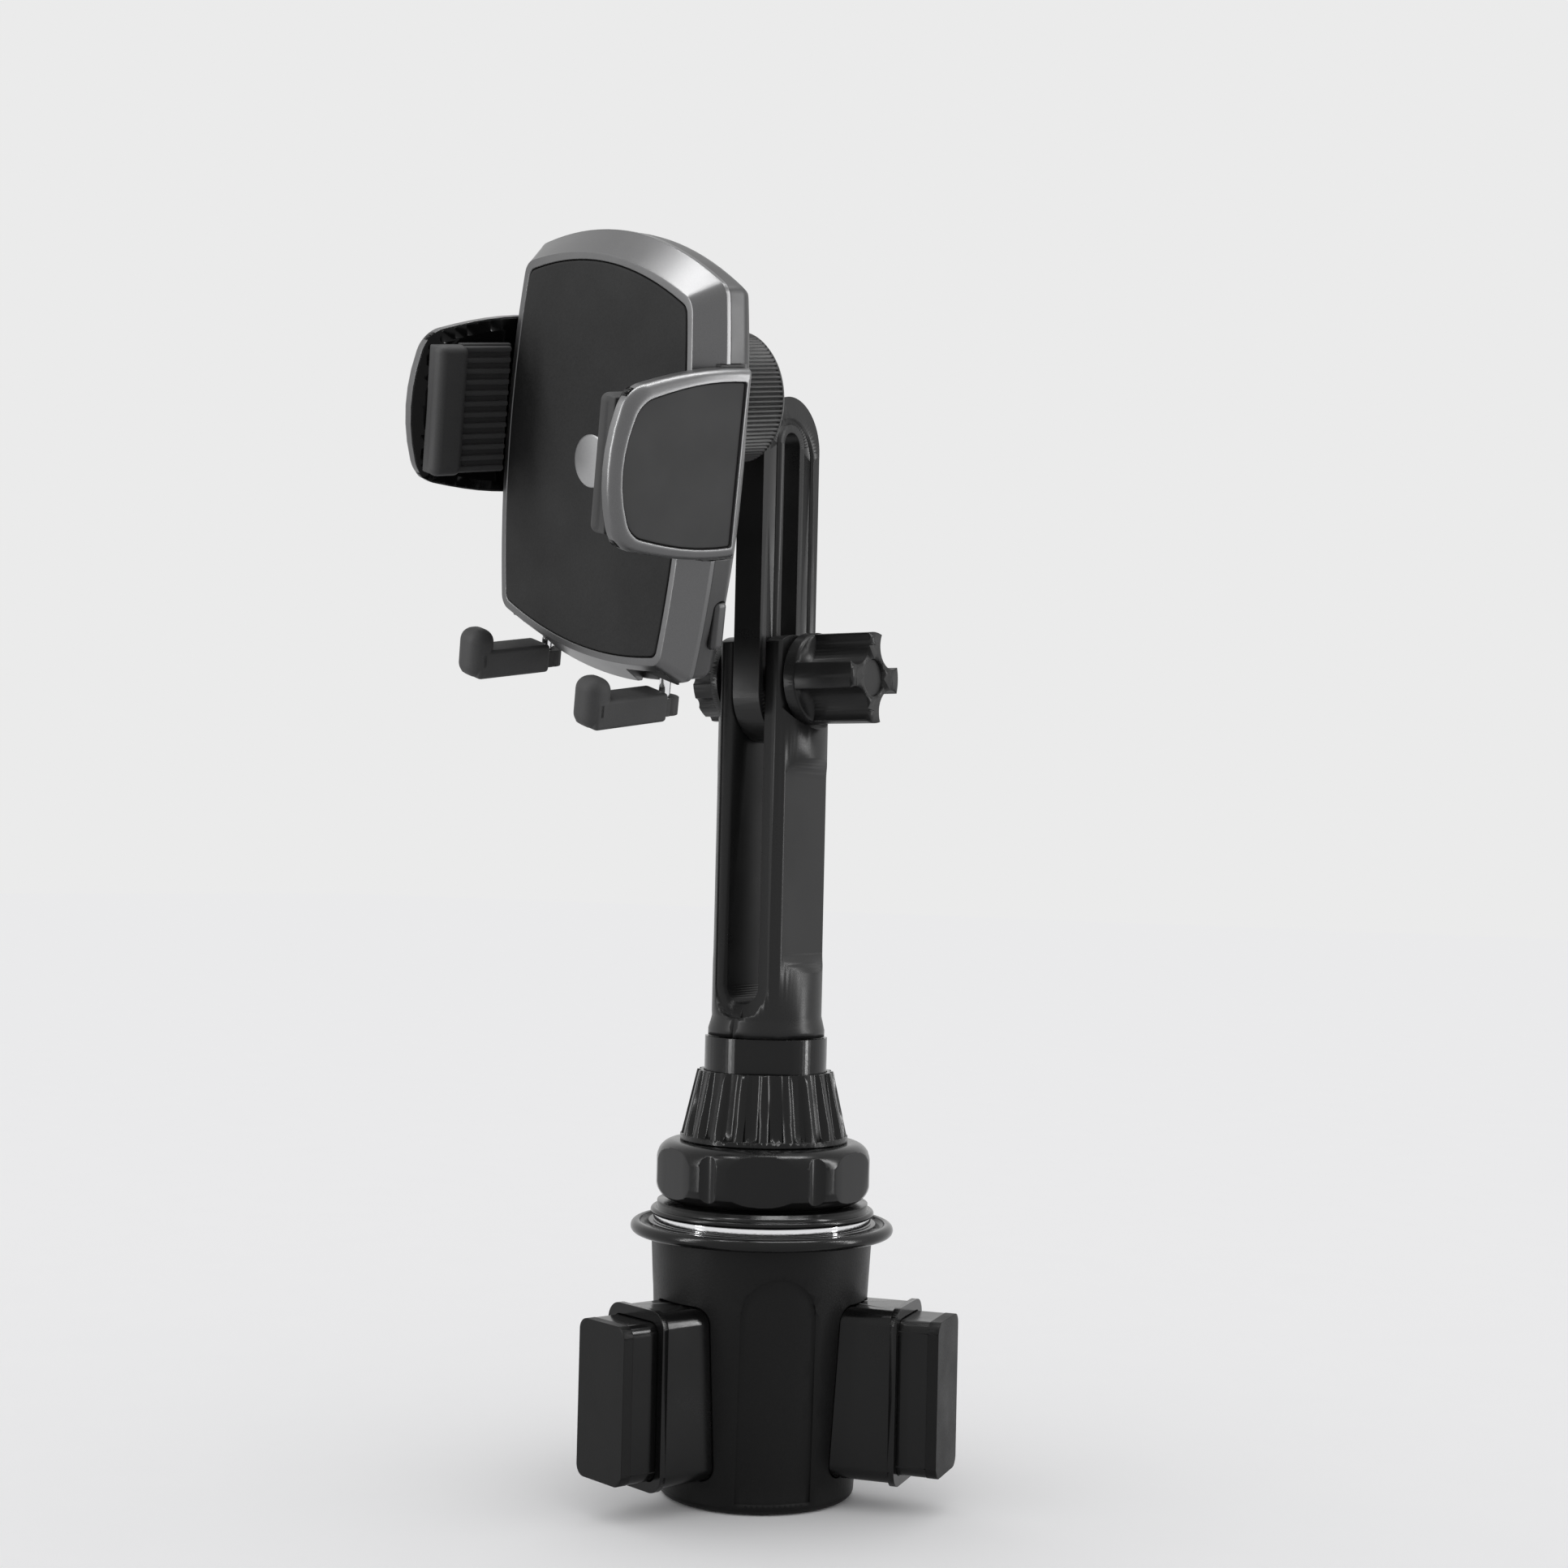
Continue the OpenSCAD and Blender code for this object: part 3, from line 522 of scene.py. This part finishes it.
pocket_low = Vector((40.6 * mm, -3 * mm, -17.8 * mm))
pocket_high = Vector((60.6 * mm, 21 * mm, 32.4 * mm))
foot_x = 26 * mm


def pockets():
    """Boxes that clear the arms on both sides of the body."""
    boxes = []
    for side in (-1, 1):
        low = Vector((min(side * pocket_low.x, side * pocket_high.x), pocket_low.y,
                      pocket_low.z))
        high = Vector((max(side * pocket_low.x, side * pocket_high.x), pocket_high.y,
                       pocket_high.z))
        boxes.append(block(low, high))
    return boxes


def foot_notches():
    boxes = []
    for side in (-1, 1):
        notch = block((side * foot_x - 7.5 * mm, 2.6 * mm, -62 * mm),
                      (side * foot_x + 7.5 * mm, 12.6 * mm, -49.2 * mm))
        softened(notch, 0.8 * mm, 3)
        boxes.append(notch)
    return boxes


shape = cut_away(shape, pockets() + foot_notches())
finished("front_shell_skin", shape, "shell_silver", "front_shell", place=cradle)

# %% [markdown]
# ## Rear housing
# Behind the seam the body is a darker, softly rounded shell, and a round boss grows out of its
# back with a threaded neck for the ball nut. The shell is a stack of shrinking rings, closed
# at both ends; the boss is spun and simply sinks into it.

# %% Rear housing
rear_low, rear_high = measured("rear_housing")
seam = rear_low.y
shape = bmesh.new()
rings = [ring_at(shape, outer_ring(-2.0 * mm), seam - 0.35 * mm),
         ring_at(shape, outer_ring(-0.75 * mm), seam - 0.1 * mm),
         ring_at(shape, outer_ring(-0.5 * mm), seam + 0.25 * mm),
         ring_at(shape, outer_ring(-0.5 * mm), 13.4 * mm),
         ring_at(shape, outer_ring(-0.75 * mm), 14.8 * mm),
         ring_at(shape, outer_ring(-1.5 * mm), 16.3 * mm),
         ring_at(shape, outer_ring(-2.7 * mm), 17.6 * mm),
         ring_at(shape, outer_ring(-4.6 * mm), 18.6 * mm),
         ring_at(shape, outer_ring(-7.0 * mm), 19.0 * mm)]
stacked(shape, rings, close_first=True, close_last=True)
button_pit = block((38.0 * mm, 11.6 * mm, -42.8 * mm), (48.0 * mm, 16.4 * mm, -29.2 * mm))
softened(button_pit, 2.2 * mm, 5)
pin_holes = []
for side in (-1, 1):
    hole = bmesh.new()
    bmesh.ops.create_cone(hole, cap_ends=True, segments=24, radius1=1.7 * mm,
                          radius2=1.7 * mm, depth=30 * mm)
    bmesh.ops.translate(hole, vec=(side * foot_x, 10.5 * mm, -50 * mm), verts=hole.verts)
    pin_holes.append(hole)
shape = cut_away(shape, pockets() + [button_pit] + pin_holes)
finished("rear_housing_skin", shape, "rear_grey", "rear_housing", place=cradle)

boss_r = 15.4 * mm
neck_r = 14.0 * mm
pitch = 1.5 * mm
boss_end = 31.6 * mm
neck_end = rear_high.y
profile = [(boss_r + 3.0 * mm, 17.6 * mm), (boss_r + 2.6 * mm, 18.9 * mm),
           (boss_r + 1.2 * mm, 19.3 * mm), (boss_r + 0.3 * mm, 20.2 * mm),
           (boss_r, 21.6 * mm), (boss_r, boss_end - 0.5 * mm),
           (boss_r - 0.5 * mm, boss_end), (neck_r - 0.6 * mm, boss_end)]
turns = int((neck_end - boss_end) / pitch)
for turn_number in range(turns):
    start = boss_end + turn_number * pitch
    profile.append((neck_r - 0.6 * mm, start + 0.2 * pitch))
    profile.append((neck_r, start + 0.45 * pitch))
    profile.append((neck_r, start + 0.65 * pitch))
    profile.append((neck_r - 0.6 * mm, start + 0.9 * pitch))
profile += [(neck_r - 0.8 * mm, neck_end), (11.7 * mm, neck_end), (11.7 * mm, 33 * mm),
            (0, 33 * mm)]
boss_place = cradle @ Matrix.Translation((0, 0, ball_up))
finished("rear_boss_skin", spun(profile), "rear_grey", body="cradle", place=boss_place)

# %% [markdown]
# ## Ball nut
# The big nut behind the cradle squeezes the ball. Its rim carries fine straight knurling,
# cut along the axis. A spun barrel has columns of faces; every third column of vertices is
# scaled towards the axis, which leaves a regular row of grooves between rounded ends.

# %% Ball nut
nut_low, nut_high = measured("ball_nut")
nut_r = nut_high.x
nut_front = nut_low.y
nut_back = nut_high.y
knurls = 84
steps_per_knurl = 3
profile = [(14.1 * mm, nut_front + 0.6 * mm), (14.5 * mm, nut_front),
           (nut_r - 1.6 * mm, nut_front), (nut_r - 0.6 * mm, nut_front + 0.4 * mm),
           (nut_r, nut_front + 1.4 * mm), (nut_r, nut_front + 1.9 * mm),
           (nut_r, nut_back - 2.2 * mm), (nut_r, nut_back - 1.7 * mm),
           (nut_r - 0.8 * mm, nut_back - 0.6 * mm), (nut_r - 2.0 * mm, nut_back),
           (12.6 * mm, nut_back), (12.0 * mm, nut_back - 0.3 * mm),
           (10.2 * mm, nut_back - 4.1 * mm), (11.7 * mm, 44.1 * mm), (14.1 * mm, 44.1 * mm),
           (14.1 * mm, nut_front + 0.6 * mm)]
shape = spun(profile, steps=knurls * steps_per_knurl)
knurl_start = nut_front + 1.6 * mm
knurl_end = nut_back - 1.9 * mm
knurl_share = 0.965
step_angle = math.tau / (knurls * steps_per_knurl)
grooves = []
for vertex in shape.verts:
    on_barrel = knurl_start < vertex.co.y < knurl_end
    column = round(math.atan2(vertex.co.z, vertex.co.x) / step_angle)
    if on_barrel and Vector((vertex.co.x, vertex.co.z)).length > nut_r * 0.98:
        if column % steps_per_knurl == 0:
            grooves.append(vertex)
bmesh.ops.scale(shape, vec=(knurl_share, 1, knurl_share), verts=grooves)
print("knurl vertices:", len(grooves))
finished("ball_nut_skin", shape, "satin_plastic", "ball_nut", place=boss_place,
         angle=math.radians(50))

# %% [markdown]
# ## Cradle arms
# Each arm is a bowed panel that stands beside the phone. A gloss black plate faces inwards, a
# painted metal frame with a broad rounded edge wraps the outside, and a flat dark insert fills
# the frame. The frame and insert start from one outline, and insets with a little depth turn the edge.

# %% Arm outline
arm_z = 7.4 * mm
arm_front = -25 * mm
arm_rear = 13.6 * mm
front_half = 19.8 * mm
rear_half = 24.2 * mm
front_bow = 4.4 * mm
arm_steps = 8
rear_share = 0.8
on_its_side = Matrix(((0, 1, 0, 0), (1, 0, 0, 0), (0, 0, 1, 0), (0, 0, 0, 1)))


def arm_ring(inset, corner, rear_corner=0.6 * mm):
    """The arm's side outline as (depth, height) pairs, a given distance inside the full one."""
    front = arm_front + inset
    rear = arm_rear - inset * rear_share
    short = front_half - inset
    tall = rear_half - inset
    points = []
    for step in range(arm_steps):
        t = 1 - 2 * step / arm_steps
        points.append((front - front_bow * bowed(t), arm_z + short * t))
    for step in range(arm_steps):
        t = step / arm_steps
        drop = (tall - short) * math.sin(math.pi * t / 2) + 0.6 * mm * math.sin(math.pi * t)
        points.append((front + (rear - front) * t, arm_z - short - drop))
    for step in range(arm_steps):
        points.append((rear, arm_z + 2 * tall * (step / arm_steps - 0.5)))
    for step in range(arm_steps):
        t = 1 - step / arm_steps
        rise = (tall - short) * math.sin(math.pi * t / 2) + 0.6 * mm * math.sin(math.pi * t)
        points.append((front + (rear - front) * t, arm_z + short + rise))
    rounded = rounded_points(points, [0, arm_steps], corner, 8)
    rear_spots = [spot for spot, point in enumerate(rounded)
                  if point[0] > rear - 0.01 * mm and abs(point[1] - arm_z) > tall * 0.99]
    return rounded_points(rounded, rear_spots, rear_corner, 3)


def for_side(shape, side):
    """Lays a stack on its side and mirrors it when it is wanted on the left."""
    bmesh.ops.transform(shape, matrix=on_its_side, verts=shape.verts)
    if side < 0:
        bmesh.ops.scale(shape, vec=(-1, 1, 1), verts=shape.verts)
    return shape


# %% Arm frames and inserts
plate_out = 43.4 * mm
sides = {"left": -1, "right": 1}
# Sections from the outer wall inwards, as (inset, depth across the arm) in millimetres
frame_section = [(-0.05, 41.6), (-0.06, plate_out / mm), (0.0, 43.9), (0.2, 44.4),
                 (0.6, 45.0), (1.2, 45.5), (1.8, 45.85), (2.4, 46.0), (2.9, 45.96),
                 (3.05, 45.6), (3.18, 44.7), (3.3, 43.8)]
insert_section = [(3.2, 43.7), (3.26, 45.0), (3.36, 45.3), (3.8, 45.38)]
for word, side in sides.items():
    for kind, section, finish in (("arm_frame_", frame_section, "shell_silver"),
                                  ("arm_insert_", insert_section, "insert_grey")):
        shape = bmesh.new()
        rings = [ring_at(shape, arm_ring(inset, 4.4 * mm - inset * 0.35), x)
                 for inset, x in [(inset * mm, x * mm) for inset, x in section]]
        stacked(shape, rings, close_first=True, close_last=True)
        finished(kind + word + "_skin", for_side(shape, side), finish, kind + word,
                 place=cradle)
print("points round an arm:", len(arm_ring(0, 4.4 * mm)))

# %% Arm plates with their racks
for word, side in sides.items():
    finished("arm_plate_" + word + "_skin", copied("arm_plate_" + word), "arm_black",
             "arm_plate_" + word)

# %% [markdown]
# ## Grip pads
# The rubber grip on each arm has a raised lip that keeps the phone from sliding forward and a
# bed of level ribs behind it. The lip is a rounded bar on a narrower root, and the ribs are
# soft bars on a thin bed. All are boxes with generous bevels, joined in one mesh.

# %% Grip pads
grip_height = 35.2 * mm
grip_mid = arm_z
rib_pitch = 2.95 * mm
ribs = 12


def joined(shapes):
    """Several bmeshes as one."""
    whole = bmesh.new()
    for item in shapes:
        mesh = bpy.data.meshes.new("joined")
        item.to_mesh(mesh)
        item.free()
        whole.from_mesh(mesh)
        bpy.data.meshes.remove(mesh)
    return whole


def soft_block(low, high, width, segments=4):
    shape = block(low, high)
    softened(shape, width, segments)
    return shape


half_grip = grip_height / 2
grip_low = grip_mid - half_grip
grip_high = grip_mid + half_grip
lip_depths = (-26.2 * mm, -16.8 * mm)
root_depths = (-25.8 * mm, -17.0 * mm)
bed_depths = (-17.4 * mm, -0.6 * mm)
rib_depths = (-17.4 * mm, -1.2 * mm)
end_margin = 0.5 * mm
for word, side in sides.items():
    lip = soft_block((33.4 * mm, lip_depths[0], grip_low),
                     (38.4 * mm, lip_depths[1], grip_high), 2.2 * mm, 6)
    root = soft_block((36.2 * mm, root_depths[0], grip_low + end_margin),
                      (39.9 * mm, root_depths[1], grip_high - end_margin), 0.5 * mm)
    bed = soft_block((37.6 * mm, bed_depths[0], grip_low),
                     (39.3 * mm, bed_depths[1], grip_high), 0.5 * mm)
    bars = []
    for number in range(ribs):
        low_z = grip_low + end_margin + number * rib_pitch
        bars.append(soft_block((36.3 * mm, rib_depths[0], low_z),
                               (38.6 * mm, rib_depths[1], low_z + 1.55 * mm), 0.55 * mm, 3))
    shape = joined([lip, root, bed] + bars)
    bmesh.ops.scale(shape, vec=(side, 1, 1), verts=shape.verts)
    finished("grip_pad_" + word + "_skin", shape, "grip_rubber", "grip_pad_" + word,
             place=cradle)

# %% [markdown]
# ## Release button
# A slim painted pill sits in its pit in the right side wall, on a plate that keeps it from
# falling out. A bevel almost as wide as the pill is thin rounds its edges.

# %% Release button
button_low, button_high = measured("release_button")
pill = soft_block((38.6 * mm, 12.0 * mm, -42.4 * mm), (button_high.x, 16.0 * mm, -29.6 * mm),
                  1.3 * mm, 5)
foot_plate = soft_block((button_low.x, 11.4 * mm, -43.4 * mm),
                        (38.0 * mm, 16.6 * mm, -28.6 * mm), 0.4 * mm)
stem = soft_block((37.5 * mm, 12.6 * mm, -41.5 * mm), (39.5 * mm, 15.4 * mm, -30.5 * mm),
                  0.2 * mm)
finished("release_button_skin", joined([pill, foot_plate, stem]), "rear_grey",
         "release_button", place=cradle)

# %% [markdown]
# ## Painted shade plates
# The button's pit, the two foot notches and the gaps above and below each arm lie in shade.
# Thin dark plates put there paint that shade black.

# %% Painted shade plates
# A dark plate behind the button paints the shade in its pit.
painted_shade_plates = [soft_block((37.7 * mm, 11.7 * mm, -42.7 * mm), (39.4 * mm, 16.3 * mm, -29.3 * mm),
                     0.2 * mm, 2)]
# Dark plates in each foot notch paint the shade there.
for side in (-1, 1):
    middle = side * foot_x
    painted_shade_plates.append(block((middle - 7.4 * mm, 3.6 * mm, -50.2 * mm),
                        (middle + 7.4 * mm, 12.4 * mm, -49.3 * mm)))
    painted_shade_plates.append(block((middle - 7.4 * mm, 8.5 * mm, -53.4 * mm),
                        (middle + 7.4 * mm, 9.1 * mm, -49.6 * mm)))
# Dark plates in the gaps above and below each arm paint the shadow there.
arm_gaps = ((31.75, 32.36), (-17.76, -17.05))
for low_z, high_z in arm_gaps:
    for side in (-1, 1):
        near, far = sorted((side * 40.8 * mm, side * 42.4 * mm))
        painted_shade_plates.append(block((near, 5.0 * mm, low_z * mm), (far, 13.0 * mm, high_z * mm)))
finished("painted_shade_skin", joined(painted_shade_plates), "satin_plastic", body="cradle", place=cradle)

# %% [markdown]
# ## Feet
# Two rubber feet hold the phone's lower edge. Each is a sleeve pulled over a plastic bar and
# turned up at its front into a domed thumb. The thumb is a block whose bevel is almost as wide
# as half the block, so its top becomes a dome; the bar's small bevel keeps it square.

# %% Feet
sleeve_low, sleeve_high = measured("foot_sleeve_left")
sleeve_half = 4.7 * mm
bar_low = sleeve_low.z
bar_top = bar_low + 8 * mm
thumb_back = sleeve_low.y + 8 * mm
bar_front = sleeve_low.y + 2.2 * mm
for word, side in sides.items():
    bar = soft_block((-sleeve_half, bar_front, bar_low), (sleeve_half, sleeve_high.y, bar_top),
                     1.1 * mm, 4)
    thumb = soft_block((-sleeve_half, sleeve_low.y, bar_low),
                       (sleeve_half, thumb_back, sleeve_high.z), 3.6 * mm, 8)
    shape = joined([bar, thumb])
    bmesh.ops.translate(shape, vec=(side * foot_x, 0, 0), verts=shape.verts)
    finished("foot_sleeve_" + word + "_skin", shape, "grip_rubber", "foot_sleeve_" + word,
             place=cradle)

# %% [markdown]
# ## Floor and light
# The mount stands on a pale floor. Tall narrow strips at both sides and one above draw a
# bright line down each edge, and the pale world fills the shadows. The strips could also light
# the floor, but they would burn it out, so light linking leaves it to the world alone.

# %% Floor
floor_half = 6.0
floor_shape = bmesh.new()
bmesh.ops.create_grid(floor_shape, x_segments=1, y_segments=1, size=floor_half)
floor_mesh = bpy.data.meshes.new("floor")
floor_shape.to_mesh(floor_mesh)
floor_shape.free()
floor_paint = bpy.data.materials.new("floor_paint")
floor_paint.use_nodes = True
floor_shader = floor_paint.node_tree.nodes["Principled BSDF"]
floor_place = add_node(floor_paint, "NewGeometry").outputs["Position"]
floor_grain = add_node(floor_paint, "TexNoise")
floor_grain.inputs["Scale"].default_value = 40
link(floor_paint, floor_place, floor_grain.inputs["Vector"])
floor_grey = colour_mix(floor_paint, floor_grain.outputs["Fac"], grey(0.985), grey(0.998))
link(floor_paint, floor_grey, floor_shader.inputs["Base Color"])
floor_shader.inputs["Roughness"].default_value = 0.9
floor_shader.inputs["Specular IOR Level"].default_value = 0.0
floor_mesh.materials.append(floor_paint)
floor = bpy.data.objects.new("floor", floor_mesh)
floor_gap = 0.2 * mm
floor.location = (0, 0, -floor_gap)
scene.collection.objects.link(floor)
unlit = bpy.data.collections.new("unlit")
unlit.objects.link(floor)
for entry in unlit.collection_objects:
    entry.light_linking.link_state = "EXCLUDE"

# %% World and light strips
sky = bpy.data.worlds.new("studio")
scene.world = sky
sky.use_nodes = True
backdrop = sky.node_tree.nodes["Background"]
pale = 0.831
backdrop.inputs["Color"].default_value = (pale, pale, pale, 1)
backdrop.inputs["Strength"].default_value = 1.0
scene.view_settings.view_transform = "Standard"


def light_strip(name, place, target, width, height, power):
    lamp = bpy.data.lights.new(name, "AREA")
    lamp.shape = "RECTANGLE"
    lamp.size = width
    lamp.size_y = height
    lamp.energy = power
    holder = bpy.data.objects.new(name, lamp)
    holder.location = place
    aim = Vector(target) - Vector(place)
    holder.rotation_euler = aim.to_track_quat("-Z", "Y").to_euler()
    scene.collection.objects.link(holder)
    holder.light_linking.receiver_collection = unlit


centre = (Vector(cad_box[0]) + Vector(cad_box[1])) / 2
viewer_turn = Matrix.Rotation(math.radians(34), 3, "Z")


def from_viewer(x, y, z):
    """A place given to the viewer's right, away from the viewer and up."""
    return viewer_turn @ Vector((x, y, z))


strip_long = 1.0
strip_narrow = 0.06
top_narrow = 0.10
side_power = 5.5
top_power = 7
light_strip("left_strip", from_viewer(-0.75, -0.30, 0.35), centre, strip_narrow, strip_long,
            side_power)
light_strip("right_strip", from_viewer(0.80, -0.10, 0.35), centre, strip_narrow, strip_long,
            side_power)
light_strip("top_strip", from_viewer(0.0, -0.10, 1.05), centre, strip_long, top_narrow,
            top_power)

# %% [markdown]
# ## Camera
# The view is a little below the cradle's height, looks up slightly and leans by just over a
# degree, with a normal lens from about seventy centimetres.

# %% Camera
lens_mm = 55.9
sensor_mm = 36
look_up = 0.0291
lean = 0.0227
eye = from_viewer(3.43 * mm, -688.9 * mm, 178.37 * mm)
forward = Vector((0, math.cos(look_up), math.sin(look_up)))
up = Vector((0, -math.sin(look_up), math.cos(look_up)))
right = Vector((1, 0, 0))
right_leaned = right * math.cos(lean) + up * math.sin(lean)
up_leaned = up * math.cos(lean) - right * math.sin(lean)
turned = Matrix((right_leaned, up_leaned, -forward)).transposed()
camera_data = bpy.data.cameras.new("camera")
camera_data.lens = lens_mm
camera_data.sensor_width = sensor_mm
camera_data.clip_start = 0.01
camera = bpy.data.objects.new("camera", camera_data)
camera.matrix_world = Matrix.Translation(eye) @ (viewer_turn @ turned).to_4x4()
scene.collection.objects.link(camera)
scene.camera = camera
